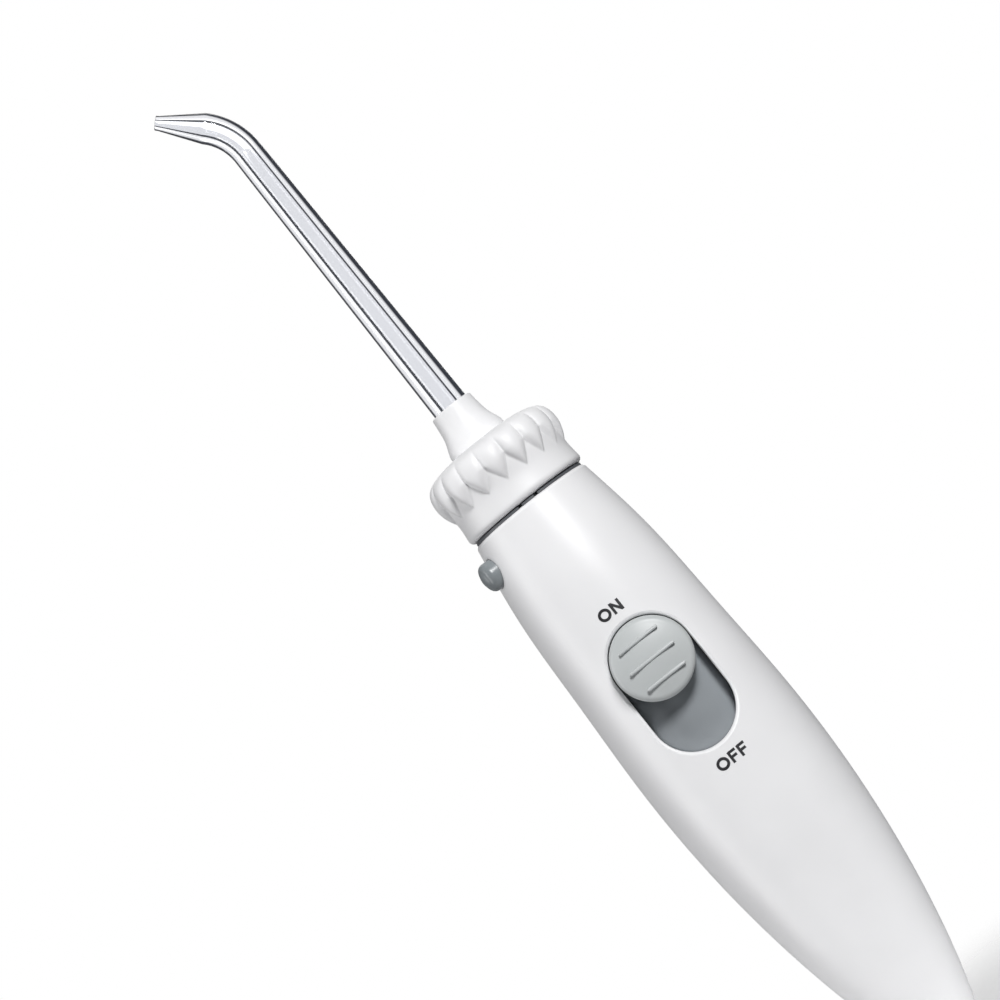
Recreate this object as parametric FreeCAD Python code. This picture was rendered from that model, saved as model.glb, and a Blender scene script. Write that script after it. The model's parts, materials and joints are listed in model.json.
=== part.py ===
import FreeCAD, Part
import math
import os

from FreeCAD import Vector

# Handpiece of a countertop water flosser, in millimetres.
# +Z runs along the grip from the hose end to the jet tip, and the origin is the middle of the hose opening.
# The slide switch faces -Y, and the eject button and the bent nozzle face -X.

X = Vector(1, 0, 0)
Y = Vector(0, 1, 0)
Z = Vector(0, 0, 1)

# ---------------------------------------------------------------- driving dimensions

# Grip: outside outline as (radius, height), from the neck down to the tail.
GRIP_TOP = 119.0
GRIP_OUTLINE = [
    (11.93, 118.1), (13.1, 111.0), (14.05, 103.5), (14.95, 87.0), (15.75, 68.0),
    (14.8, 44.3), (12.4, 27.2), (8.3, 10.0), (6.6, 4.6),
]
GRIP_END = 4.0
NECK_RIM_ROUND = 0.9
TAIL_RIM_ROUND = 0.6
WALL = 2.0
SEAM_GAP = 0.06
LIP_HEIGHT = 1.1
LIP_CLEARANCE = 0.1

# Neck of the grip, where the head is held.
WEB_LOW, WEB_HIGH = 105.0, 107.0
WEB_BORE_R = 6.2
NECK_BORE_R = 9.7
NECK_RIB_R = 10.3
NECK_RIB_LOW, NECK_RIB_HIGH = 109.1, 110.1

# Slide switch and its slot. The switch is at ON, the upper end of its travel.
SLOT_R = 7.55
SLOT_ON_Z, SLOT_OFF_Z = 84.85, 74.55
SLOT_RIM_ROUND = 0.7
SWITCH_TRAVEL = 10.3
BUTTON_R = 7.32
BUTTON_Z = 84.85
BUTTON_TOP = 17.3
BUTTON_CROWN = 0.9
BUTTON_EDGE_ROUND = 1.3
BUTTON_RIB_LENGTHS = (8.1, 9.4, 8.1)
BUTTON_RIB_PITCH = 3.85
BUTTON_RIB_R = 0.36
STEM_R = 2.2
PLATE_OUT_R, PLATE_IN_R = 11.6, 10.4
PLATE_HALF_WIDTH = 9.0
PLATE_OVERLAP = 1.3

# Chassis of the pinch valve, the lever and the hose that it closes.
CHEEK_IN, CHEEK_OUT = 5.2, 6.4
CHASSIS_FRONT, CHASSIS_BACK = -8.0, 6.6
CHASSIS_LOW, CHASSIS_HIGH = 62.0, 96.5
CHASSIS_WALL = 1.4
RAIL_FRONT, RAIL_BACK = -7.0, -5.6
RAIL_DEPTH = 0.7
SCREW_Z = (66.0, 92.0)
LEVER_PIVOT = Vector(0, -4.8, 93.5)
LEVER_PIN_R = 1.0
LEVER_HUB_R = 2.1
LEVER_HALF_WIDTH = 3.0
LEVER_ANGLE = 0.181
CAM_REACH = 13.5
CAM_R = 1.5
CAM_BACK = -5.4
CAM_GAP = 0.2
HOSE_R, HOSE_BORE_R = 3.0, 1.6
HOSE_LOW, HOSE_HIGH = 19.2, 98.8

# Rotating head.
KNOB_LOW, KNOB_HIGH = 119.65, 133.0
KNOB_HOLLOW_R, KNOB_CEILING = 9.1, 129.8
LOBES = 18
LOBE_R = 2.77
LOBE_ARC_R = 7.5
LOBE_ARC_CENTRE = (5.92, 128.6)
CONE_TOP = 141.0
CONE_BASE_R, CONE_TOP_R = 5.65, 4.08
HOLDER_LOW = 117.8
HOLDER_BORE_R = 3.45
HOLDER_FLAT = 3.0
SPIGOT_LOW, SPIGOT_HIGH = 109.0, 127.6
SPIGOT_R = 8.95
NECK_EDGE_R, NECK_EDGE_HIGH = 11.4, 119.42
CLIP_GROOVE_LOW, CLIP_GROOVE_HIGH = 123.6, 125.0
NOTCH_ANGLES = (-7.0, 10.0)

# Jet tip, bent towards -X and then turned a little to the front.
TIP_BASE_R, TIP_BEND_R, TIP_END_R = 3.35, 2.75, 1.2
BORE_BASE_R, BORE_BEND_R, BORE_END_R = 1.4, 1.15, 0.45
TIP_LOW = 101.5
TIP_CORNER = 202.7
TIP_NOZZLE = 13.3
TIP_BEND_ANGLE = 46.0
TIP_BEND_RADIUS = 11.0
TIP_TURN = 10.0
TIP_NOSE_R = 2.95
TIP_COLLAR_R = 3.3
TIP_STOP = 109.2
TIP_FLAT = 2.9

# Eject button, which lies on its own axis across the neck.
EJECT_Z = 113.3
EJECT_AZIMUTH = 71.0
EJECT_R = 2.7
EJECT_FACE = 15.3
EJECT_CLEARANCE = 0.1

# Hose inlet at the tail.
INLET_BORE_R = 2.9
INLET_BORE_LENGTH = 8.0
GLAND_R = 4.55
TAIL_BORE_R = 4.6
CAVITY_FLOOR = 16.5


# ---------------------------------------------------------------- building blocks

def cylinder(radius, low, high, x=0.0, y=0.0):
    """Upright cylinder between two heights."""
    return Part.makeCylinder(radius, high - low, Vector(x, y, low))


def ring(inner, outer, low, high):
    return cylinder(outer, low, high).cut(cylinder(inner, low, high))


def cross_pin(radius, start, end, along):
    """Cylinder from start to end on a line through the axis in the direction along, at along's height."""
    direction = Vector(along.x, along.y, 0)
    base = direction * start + Vector(0, 0, along.z)
    return Part.makeCylinder(radius, end - start, base, direction)


def block(x0, x1, y0, y1, z0, z1):
    return Part.makeBox(x1 - x0, y1 - y0, z1 - z0, Vector(x0, y0, z0))


def segment(a, b):
    """Straight edge between two (radius, height) points in the XZ plane."""
    return Part.LineSegment(Vector(a[0], 0, a[1]), Vector(b[0], 0, b[1])).toShape()


def arc(a, middle, b):
    points = [Vector(p[0], 0, p[1]) for p in (a, middle, b)]
    return Part.Arc(*points).toShape()


def curve(points):
    spline = Part.BSplineCurve()
    spline.interpolate([Vector(r, 0, z) for r, z in points])
    return spline.toShape()


def corner(centre, radius, start_deg):
    """Quarter-round from start_deg to 90 degrees further on, about a (radius, height) centre."""
    points = []
    for turn in (0, 45, 90):
        angle = math.radians(start_deg + turn)
        points.append((centre[0] + radius * math.cos(angle), centre[1] + radius * math.sin(angle)))
    return arc(*points)


def turned(edges):
    """Solid of revolution about Z from a closed outline in the XZ plane."""
    return Part.Face(Part.Wire(edges)).revolve(Vector(0, 0, 0), Z, 360)


def turned_polygon(points):
    closed = points + points[:1]
    return turned([segment(a, b) for a, b in zip(closed, closed[1:])])


def outline_face(points, normal_offset):
    """Face from (y, z) points in the plane x = normal_offset."""
    corners = [Vector(normal_offset, y, z) for y, z in points]
    return Part.Face(Part.makePolygon(corners + corners[:1]))


def helix_spring(mean_r, wire_r, low, high, turns):
    """Round-wire compression spring standing on Z."""
    stations = 16 * turns
    points = []
    for i in range(stations + 1):
        angle = 2 * math.pi * turns * i / stations
        height = low + (high - low) * i / stations
        points.append(Vector(mean_r * math.cos(angle), mean_r * math.sin(angle), height))
    path = Part.BSplineCurve()
    path.interpolate(points)
    start = Part.Circle(points[0], path.tangent(0)[0], wire_r).toShape()
    return Part.Wire(path.toShape()).makePipeShell([Part.Wire(start)], True, True)


def to_eject_axis(shape):
    """Turns a shape that was made with its outward direction on Z at the origin onto the eject button's axis."""
    shape.rotate(Vector(0, 0, 0), Y, 90)
    shape.rotate(Vector(0, 0, 0), Z, 180 + (90 - EJECT_AZIMUTH))
    shape.translate(Vector(0, 0, EJECT_Z))
    return shape


def in_eject_frame(shape):
    """Turns a shape made with outward on +X and height from the button's axis into place."""
    shape.rotate(Vector(0, 0, 0), Z, 180 + (90 - EJECT_AZIMUTH))
    shape.translate(Vector(0, 0, EJECT_Z))
    return shape


def eject_bore(radius, start, end):
    return to_eject_axis(Part.makeCylinder(radius, end - start, Vector(0, 0, start)))


# ---------------------------------------------------------------- grip

GRIP_CURVE = Part.BSplineCurve()
GRIP_CURVE.interpolate([Vector(r, 0, z) for r, z in GRIP_OUTLINE])


def grip_radius(height):
    """Outside radius of the grip at a height, found by halving along the outline."""
    low, high = GRIP_CURVE.FirstParameter, GRIP_CURVE.LastParameter
    for _ in range(50):
        middle = (low + high) / 2
        if GRIP_CURVE.value(middle).z > height:
            low = middle
        else:
            high = middle
    return GRIP_CURVE.value(low).x


def inner_curve(depth, low, high, stations=9):
    """Points of the outline moved in by depth, from low to high."""
    step = (high - low) / (stations - 1)
    heights = [low + step * i for i in range(stations)]
    return [(grip_radius(z) - depth, z) for z in heights]


def inner_solid(depth, low, high):
    points = inner_curve(depth, low, high)
    return turned([
        curve(points),
        segment(points[-1], (0, high)),
        segment((0, high), (0, low)),
        segment((0, low), points[0]),
    ])


def grip_tube():
    """The whole grip before it is split: outside, cavity, neck bore and tail bore."""
    neck_r, neck_z = GRIP_OUTLINE[0]
    tail_r, tail_z = GRIP_OUTLINE[-1]
    outside = turned([
        segment((0, GRIP_TOP), (neck_r - NECK_RIM_ROUND, GRIP_TOP)),
        corner((neck_r - NECK_RIM_ROUND, neck_z), NECK_RIM_ROUND, 0),
        GRIP_CURVE.toShape(),
        corner((tail_r - TAIL_RIM_ROUND, tail_z), TAIL_RIM_ROUND, 270),
        segment((tail_r - TAIL_RIM_ROUND, GRIP_END), (0, GRIP_END)),
        segment((0, GRIP_END), (0, GRIP_TOP)),
    ])
    hollow = inner_solid(WALL, CAVITY_FLOOR, WEB_LOW)
    hollow = hollow.fuse([
        cylinder(WEB_BORE_R, WEB_LOW - 1, WEB_HIGH + 1),
        cylinder(NECK_BORE_R, WEB_HIGH, GRIP_TOP + 1),
        cylinder(NECK_RIB_R + 0.05, NECK_RIB_LOW - 0.1, NECK_RIB_HIGH + 0.1),
        cylinder(TAIL_BORE_R, GRIP_END - 1, CAVITY_FLOOR + 1),
        eject_bore(EJECT_R + EJECT_CLEARANCE, 9.0, 20.0),
        eject_bore(3.15, 9.0, 11.2),
    ])
    return outside.cut(hollow)


def lip_band(outer_depth, inner_depth, back):
    """Band along the seam between two depths below the outside, up to a distance behind the seam plane."""
    low, high = CAVITY_FLOOR + 2, WEB_LOW - 2
    band = inner_solid(outer_depth, low, high).cut(inner_solid(inner_depth, low - 1, high + 1))
    return band.common(block(-20, 20, -1.2, back, low - 1, high + 1))


def stadium(radius, near, far):
    """Upright bar with round ends, as long as the switch slot, from near to far in front of the axis."""
    centres = [Vector(0, -far, z) for z in (SLOT_ON_Z, SLOT_OFF_Z)]
    ends = [Part.makeCylinder(radius, far - near, centre, Y) for centre in centres]
    middle = block(-radius, radius, -far, -near, SLOT_OFF_Z, SLOT_ON_Z)
    return middle.fuse(ends).removeSplitter()


def slot_collar():
    """Wall round the slot that reaches in to the sliding plate."""
    collar = stadium(SLOT_R + 1.2, 3, 25).common(inner_solid(WALL / 2, 55, 104))
    return collar.cut(cylinder(PLATE_OUT_R + 0.2, 50, 110))


def round_slot_rim(shell):
    """Rounds the outside rim of the switch slot."""
    rim = []
    for edge in shell.Edges:
        box = edge.BoundBox
        beside = box.XMax < SLOT_R + 0.1 and box.XMin > -SLOT_R - 0.1
        height = SLOT_OFF_Z - SLOT_R - 0.1 < box.ZMin and box.ZMax < SLOT_ON_Z + SLOT_R + 0.1
        middle = edge.valueAt((edge.FirstParameter + edge.LastParameter) / 2)
        on_outside = abs(math.hypot(middle.x, middle.y) - grip_radius(middle.z)) < 0.05
        if beside and height and on_outside and middle.y < 0:
            rim.append(edge)
    return shell.makeFillet(SLOT_RIM_ROUND, rim)


def front_casing(tube):
    half = tube.common(block(-20, 20, -20, -SEAM_GAP / 2, 0, 130))
    half = half.fuse(lip_band(WALL / 2 + LIP_CLEARANCE, WALL + 0.3, LIP_HEIGHT))
    half = half.cut(block(-20, 20, LIP_HEIGHT, 20, 0, 130))
    half = half.fuse(slot_collar())
    half = half.cut(stadium(SLOT_R, 3, 25)).removeSplitter()
    return round_slot_rim(half)


def screw_boss(height):
    reach = grip_radius(height) - WALL / 2
    return Part.makeCylinder(2.6, reach - CHASSIS_BACK, Vector(0, CHASSIS_BACK, height), Y)


def rear_casing(tube):
    half = tube.common(block(-20, 20, SEAM_GAP / 2, 20, 0, 130))
    half = half.cut(lip_band(WALL / 2, WALL + 1, LIP_HEIGHT + LIP_CLEARANCE))
    for height in SCREW_Z:
        half = half.fuse(screw_boss(height))
        half = half.cut(Part.makeCylinder(0.95, 4.6, Vector(0, CHASSIS_BACK, height), Y))
    return half.removeSplitter()


# ---------------------------------------------------------------- hose inlet and inner hose

def hose_gland():
    """Ring that closes the tail and steadies the supply hose."""
    shoulder = GRIP_END
    flange_r = 5.6
    shape = turned([
        segment((INLET_BORE_R, 0), (flange_r - 1.2, 0)),
        corner((flange_r - 1.2, 1.2), 1.2, 270),
        segment((flange_r, 1.2), (flange_r, shoulder)),
        segment((flange_r, shoulder), (GLAND_R, shoulder)),
        segment((GLAND_R, shoulder), (GLAND_R, 14.0)),
        segment((GLAND_R, 14.0), (3.7, 14.0)),
        segment((3.7, 14.0), (3.7, INLET_BORE_LENGTH)),
        segment((3.7, INLET_BORE_LENGTH), (INLET_BORE_R, INLET_BORE_LENGTH)),
        segment((INLET_BORE_R, INLET_BORE_LENGTH), (INLET_BORE_R, 0)),
    ])
    return shape.cut(ring(3.9, 5.0, 5.4, 6.4))


def gland_seal():
    return Part.makeTorus(4.24, 0.34, Vector(0, 0, 5.9))


def barb_outline(root_r, ridge_r, low, high, teeth, up):
    """Saw-tooth hose tail as (radius, height) points, with its slopes towards the free end."""
    pitch = (high - low) / teeth
    points = []
    for i in range(teeth):
        z = low + pitch * i
        points += [(root_r, z), (ridge_r, z + 0.25)] if up else [(root_r, z), (ridge_r, z + pitch - 0.25)]
    return points + [(root_r, high)]


def inlet_barb():
    """Two-ended hose tail that stands on the floor of the grip."""
    flange_low, flange_high = CAVITY_FLOOR, CAVITY_FLOOR + 2.4
    points = [(0.9, 9.0)]
    points += barb_outline(1.3, 1.6, 9.0, 15.0, 3, False)
    points += [(1.6, 15.0), (1.6, flange_low), (6.5, flange_low), (6.5, flange_high), (1.4, flange_high)]
    points += barb_outline(1.4, HOSE_BORE_R, 21.0, 30.0, 3, True)
    points += [(0.9, 30.0)]
    return turned_polygon(points)


def inner_hose():
    return ring(HOSE_BORE_R, HOSE_R, HOSE_LOW, HOSE_HIGH)


def hose_clamps():
    """Two crimped bands, one on each end of the inner hose."""
    bands = []
    for middle in (24.5, 97.2):
        ear = block(-1.2, 1.2, HOSE_R + 0.3, HOSE_R + 1.5, middle - 1.2, middle + 1.2)
        band = ring(HOSE_R, HOSE_R + 0.5, middle - 1.2, middle + 1.2).fuse(ear)
        bands.append(band.removeSplitter())
    return Part.makeCompound(bands)


# ---------------------------------------------------------------- tip socket

def outlet_fitting():
    """Socket that takes the end of the tip, with a hose tail below it."""
    points = [(1.0, 89.6)]
    points += barb_outline(1.4, HOSE_BORE_R, 89.6, 98.6, 3, False)
    points += [(1.4, 99.2), (5.6, 99.2), (5.6, WEB_HIGH), (9.6, WEB_HIGH), (9.6, SPIGOT_LOW)]
    points += [(3.4, SPIGOT_LOW), (3.08, SPIGOT_LOW - 0.4), (3.08, 105.7), (4.55, 105.7)]
    points += [(4.55, 104.0), (3.08, 104.0), (3.08, 100.5), (1.0, 99.0)]
    return turned_polygon(points)


def tip_seal():
    return Part.makeTorus(3.76, 0.78, Vector(0, 0, 104.85))


# ---------------------------------------------------------------- rotating head

def neck_spigot():
    """Fixed bearing that the knob turns on. Its edge is the dark line under the knob."""
    shape = turned_polygon([
        (4.2, SPIGOT_LOW), (9.65, SPIGOT_LOW), (9.65, NECK_RIB_LOW), (NECK_RIB_R, NECK_RIB_LOW),
        (NECK_RIB_R, NECK_RIB_HIGH), (9.65, NECK_RIB_HIGH), (9.65, GRIP_TOP), (NECK_EDGE_R, GRIP_TOP),
        (NECK_EDGE_R, NECK_EDGE_HIGH), (SPIGOT_R, NECK_EDGE_HIGH), (SPIGOT_R, CLIP_GROOVE_LOW), (8.2, CLIP_GROOVE_LOW),
        (8.2, CLIP_GROOVE_HIGH), (SPIGOT_R, CLIP_GROOVE_HIGH), (SPIGOT_R, SPIGOT_HIGH - 0.5),
        (SPIGOT_R - 0.5, SPIGOT_HIGH), (5.08, SPIGOT_HIGH), (5.08, 117.5), (4.2, 117.5),
    ])
    clip_pocket = in_eject_frame(block(-6.2, 7.6, -4.4, 4.4, -0.7, 0.7))
    shape = shape.cut([
        clip_pocket, eject_bore(1.1, 3.5, 12.0), eject_bore(1.9, 7.6, 12.0), eject_bore(3.15, 8.5, 12.0),
    ])
    for angle in NOTCH_ANGLES:
        notch = block(-0.4, 0.4, -12, -9.9, GRIP_TOP - 0.1, NECK_EDGE_HIGH + 0.1)
        notch.rotate(Vector(0, 0, 0), Z, angle)
        shape = shape.cut(notch)
    return shape


def thrust_washer():
    return ring(5.3, 8.6, SPIGOT_HIGH, SPIGOT_HIGH + 0.6)


def knob_clip():
    """Open spring ring that keeps the knob on the spigot."""
    band = ring(8.3, 9.7, CLIP_GROOVE_LOW + 0.1, CLIP_GROOVE_HIGH - 0.1)
    return band.cut(block(0, 12, -2.5, 2.5, CLIP_GROOVE_LOW, CLIP_GROOVE_HIGH))


def knob_shape(side):
    """The knob as turned, with its side line between the rim and the shoulder given."""
    return turned([
        segment((KNOB_HOLLOW_R, KNOB_LOW), (11.25, KNOB_LOW)),
        arc((11.25, KNOB_LOW), (11.93, 119.97), (12.15, 120.7)),
        curve(side),
        segment(side[-1], (5.72, KNOB_HIGH)),
        segment((5.72, KNOB_HIGH), (5.72, KNOB_CEILING)),
        segment((5.72, KNOB_CEILING), (KNOB_HOLLOW_R, KNOB_CEILING)),
        segment((KNOB_HOLLOW_R, KNOB_CEILING), (KNOB_HOLLOW_R, KNOB_LOW)),
    ])


def lobe():
    """Round bar bent over the knob's belly, which stands proud of the valley between two lobes."""
    centre = Vector(LOBE_ARC_CENTRE[0], 0, LOBE_ARC_CENTRE[1])
    bar = Part.makeTorus(LOBE_ARC_R - LOBE_R, LOBE_R, centre, Y)
    return bar.common(block(9.6, 20, -2.6, 2.6, 123.5, 132.6))


def rotation_knob():
    """Knob with leaf-shaped lobes, which run to a point on the skirt."""
    skirt = [(12.15, 120.7), (11.98, 122.2), (11.9, 123.8), (12.03, 125.4), (12.22, 127.0), (12.33, 128.6)]
    valley = knob_shape(skirt + [(12.2, 130.0), (11.55, 131.2), (10.2, 132.2), (8.2, 132.72), (6.8, 132.9)])
    limit = turned([
        curve([(13.9, 126.0), (13.75, 128.4), (13.2, 130.2), (12.15, 131.5), (10.6, 132.3), (8.6, 132.75)]),
        segment((8.6, 132.75), (8.6, 126.0)),
        segment((8.6, 126.0), (13.9, 126.0)),
    ]).fuse(ring(8.6, 13.9, 123.0, 126.0))
    one = lobe().common(limit)
    lobes = []
    for i in range(LOBES):
        turned_lobe = one.copy()
        turned_lobe.rotate(Vector(0, 0, 0), Z, -90 + i * 360 / LOBES)
        lobes.append(turned_lobe)
    knob = valley.fuse(lobes)
    knob = knob.cut(cylinder(9.8, CLIP_GROOVE_LOW, CLIP_GROOVE_HIGH))
    for side in (-1, 1):
        lug = block(min(side * 7.0, side * 9.4), max(side * 7.0, side * 9.4), -1, 1, 128.5, KNOB_CEILING + 0.1)
        knob = knob.fuse(lug)
    return knob.removeSplitter()


def tip_holder():
    """Sleeve with the white cone. It turns with the knob and carries the tip round by its flats."""
    flange_low = SPIGOT_HIGH + 0.7
    outside = turned([
        segment((0, HOLDER_LOW), (4.98, HOLDER_LOW)),
        segment((4.98, HOLDER_LOW), (4.98, flange_low)),
        segment((4.98, flange_low), (8.9, flange_low)),
        segment((8.9, flange_low), (8.9, KNOB_CEILING)),
        segment((8.9, KNOB_CEILING), (CONE_BASE_R, KNOB_CEILING)),
        segment((CONE_BASE_R, KNOB_CEILING), (CONE_BASE_R, 133.9)),
        curve([(CONE_BASE_R, 133.9), (5.3, 134.9), (4.72, 136.4), (4.3, 138.7), (CONE_TOP_R, 140.7)]),
        arc((CONE_TOP_R, 140.7), (CONE_TOP_R - 0.1, 140.92), (CONE_TOP_R - 0.3, CONE_TOP)),
        segment((CONE_TOP_R - 0.3, CONE_TOP), (0, CONE_TOP)),
        segment((0, CONE_TOP), (0, HOLDER_LOW)),
    ])
    flats = block(-5, 5, -HOLDER_FLAT, HOLDER_FLAT, HOLDER_LOW - 1, 132.0)
    bore = cylinder(HOLDER_BORE_R, HOLDER_LOW - 1, 132.0).common(flats)
    bore = bore.fuse(cylinder(HOLDER_BORE_R, 132.0, CONE_TOP + 1))
    bore.rotate(Vector(0, 0, 0), Z, TIP_TURN)
    notches = block(-10, 10, -1.05, 1.05, 127.0, KNOB_CEILING).cut(cylinder(6.9, 126.0, 131.0))
    return outside.cut([bore, ring(4.38, 6.0, 121.3, 122.1), notches])


def holder_seal():
    return Part.makeTorus(4.72, 0.34, Vector(0, 0, 121.7))


# ---------------------------------------------------------------- jet tip

def bent_rod(low, base_r, bend_r, end_r, end_extra=0.0):
    """Tapered rod up the axis, round the bend and along the nozzle."""
    half_angle = math.radians(TIP_BEND_ANGLE / 2)
    bend_low = TIP_CORNER - TIP_BEND_RADIUS * math.tan(half_angle)
    straight = Part.makeCone(base_r, bend_r, bend_low - CONE_TOP, Vector(0, 0, CONE_TOP))
    foot = cylinder(base_r, low, CONE_TOP)
    centre = Vector(-TIP_BEND_RADIUS, 0, bend_low)
    section = Part.Face(Part.Wire(Part.Circle(Vector(0, 0, bend_low), Z, bend_r).toShape()))
    bend = section.revolve(centre, Vector(0, -1, 0), TIP_BEND_ANGLE)
    angle = math.radians(TIP_BEND_ANGLE)
    along = Vector(-math.sin(angle), 0, math.cos(angle))
    start = centre + Vector(math.cos(angle), 0, math.sin(angle)) * TIP_BEND_RADIUS
    length = TIP_NOZZLE - TIP_BEND_RADIUS * math.tan(half_angle)
    taper = (bend_r - end_r) / length
    nozzle = Part.makeCone(bend_r, end_r - taper * end_extra, length + end_extra, start, along)
    return foot.fuse([straight, bend, nozzle]).removeSplitter()


def shank_flats():
    """What is cut away to leave two flats on the part of the tip that the holder turns."""
    whole = ring(TIP_NOSE_R, 5.0, TIP_STOP, 131.8)
    return whole.cut(block(-6, 6, -TIP_FLAT, TIP_FLAT, TIP_STOP, 132.0))


def jet_tip():
    body = bent_rod(TIP_LOW, TIP_BASE_R, TIP_BEND_R, TIP_END_R)
    body = body.cut([
        ring(TIP_NOSE_R, 5.0, TIP_LOW - 1, TIP_STOP),
        ring(TIP_COLLAR_R, 5.0, TIP_STOP, 132.0),
        ring(2.45, 5.0, EJECT_Z - 0.7, EJECT_Z + 0.7),
        ring(3.0, 5.0, 137.0, 139.6),
    ])
    body = body.cut(block(-6, 6, TIP_FLAT, 6, TIP_STOP - 0.1, 132.0))
    body = body.cut(block(-6, 6, -6, -TIP_FLAT, TIP_STOP - 0.1, 132.0))
    nose_chamfer = ring(0.1, 5.0, TIP_LOW - 1, TIP_LOW + 1).cut(
        Part.makeCone(TIP_NOSE_R - 0.8, TIP_NOSE_R + 0.2, 1.0, Vector(0, 0, TIP_LOW)))
    body = body.cut(nose_chamfer)
    bore = bent_rod(TIP_LOW - 2, BORE_BASE_R, BORE_BEND_R, BORE_END_R, 0.5)
    body = body.cut(bore)
    body.rotate(Vector(0, 0, 0), Z, TIP_TURN)
    return body


def tip_band():
    """Marker band in the groove of the tip, just inside the mouth of the cone."""
    return ring(3.0, TIP_BASE_R, 137.0, 139.6)


# ---------------------------------------------------------------- tip latch and eject button

def tip_latch():
    """U-shaped spring whose legs lie in the groove of the tip. The eject plunger spreads them."""
    inside, outside = 2.55, 3.35
    bow = ring(inside, outside, -0.5, 0.5)
    bow = bow.cut(block(0, 5, -5, 5, -1, 1))
    bow.translate(Vector(-1.8, 0, 0))
    pieces = [bow]
    for side in (-1, 1):
        corners = [(-1.8, inside), (3.4, inside), (5.0, 0.7), (5.6, 1.3), (3.8, outside), (-1.8, outside)]
        points = [Vector(u, side * v, -0.5) for u, v in corners]
        pieces.append(Part.Face(Part.makePolygon(points + points[:1])).extrude(Vector(0, 0, 1.0)))
    return in_eject_frame(pieces[0].fuse(pieces[1:]).removeSplitter())


def eject_plunger():
    rod = Part.makeCylinder(0.95, 5.4, Vector(6.6, 0, 0), X)
    corners = [Vector(u, v, -0.45) for u, v in ((4.9, -0.3), (6.9, -1.65), (6.9, 1.65), (4.9, 0.3))]
    wedge = Part.Face(Part.makePolygon(corners + corners[:1])).extrude(Vector(0, 0, 0.9))
    return in_eject_frame(rod.fuse(wedge).removeSplitter())


def eject_button():
    crown = 0.45
    edge = 1.2
    shoulder = EJECT_FACE - crown - edge
    cap = turned([
        segment((0.95, 10.3), (3.0, 10.3)),
        segment((3.0, 10.3), (3.0, 11.0)),
        segment((3.0, 11.0), (EJECT_R, 11.0)),
        segment((EJECT_R, 11.0), (EJECT_R, shoulder)),
        corner((EJECT_R - edge, shoulder), edge, 0),
        segment((EJECT_R - edge, EJECT_FACE - crown), (0, EJECT_FACE - crown)),
        segment((0, EJECT_FACE - crown), (0, 12.0)),
        segment((0, 12.0), (0.95, 12.0)),
        segment((0.95, 12.0), (0.95, 10.3)),
    ])
    dome_r = ((EJECT_R - edge) ** 2 + crown ** 2) / (2 * crown)
    dome = Part.makeSphere(dome_r, Vector(0, 0, EJECT_FACE - dome_r))
    dome = dome.common(cylinder(EJECT_R - edge, EJECT_FACE - crown - 0.2, EJECT_FACE + 1))
    return to_eject_axis(cap.fuse(dome).removeSplitter())


def eject_spring():
    return to_eject_axis(helix_spring(1.5, 0.2, 7.85, 10.05, 2))


# ---------------------------------------------------------------- pinch valve

def valve_chassis():
    """U-shaped frame that guides the switch, holds the lever's pin and backs the hose."""
    frame = block(-CHEEK_OUT, CHEEK_OUT, CHASSIS_FRONT, CHASSIS_BACK, CHASSIS_LOW, CHASSIS_HIGH)
    inside_back = CHASSIS_BACK - CHASSIS_WALL
    frame = frame.cut(block(-CHEEK_IN, CHEEK_IN, CHASSIS_FRONT - 1, inside_back, CHASSIS_LOW - 1, CHASSIS_HIGH + 1))
    anvil = block(-4.2, 4.2, HOSE_R + 0.1, inside_back + 0.1, 71.5, 77.5)
    frame = frame.fuse(anvil)
    rail = CHEEK_IN + RAIL_DEPTH
    frame = frame.cut(block(-rail, rail, RAIL_FRONT, RAIL_BACK, 64.0, 92.0))
    frame = frame.cut(Part.makeCylinder(LEVER_PIN_R, 20, LEVER_PIVOT - X * 10, X))
    for height in SCREW_Z:
        frame = frame.cut(Part.makeCylinder(1.25, 6, Vector(0, inside_back - 1, height), Y))
    return frame.removeSplitter()


def chassis_screws():
    """Two thread-forming screws, drawn at their core diameter, that hold the chassis to the rear casing."""
    seat = CHASSIS_BACK - CHASSIS_WALL
    screws = []
    for height in SCREW_Z:
        head = Part.makeCylinder(2.0, 1.2, Vector(0, seat - 1.2, height), Y)
        shank = Part.makeCylinder(0.95, 5.6, Vector(0, seat, height), Y)
        cross = block(-0.3, 0.3, seat - 1.3, seat - 0.6, height - 1.1, height + 1.1)
        cross = cross.fuse(block(-1.1, 1.1, seat - 1.3, seat - 0.6, height - 0.3, height + 0.3))
        screws.append(head.fuse(shank).cut(cross).removeSplitter())
    return Part.makeCompound(screws)


def lever_pin():
    return Part.makeCylinder(LEVER_PIN_R, 2 * CHEEK_OUT, LEVER_PIVOT - X * CHEEK_OUT, X)


def lever_face(travel):
    """Front of the lever, at rest, where the cam bears on it after that much travel of the switch."""
    reach = CAM_REACH + travel
    lift = reach * LEVER_ANGLE * travel / SWITCH_TRAVEL
    return CAM_BACK + CAM_GAP - lift, LEVER_PIVOT.z - reach


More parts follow.
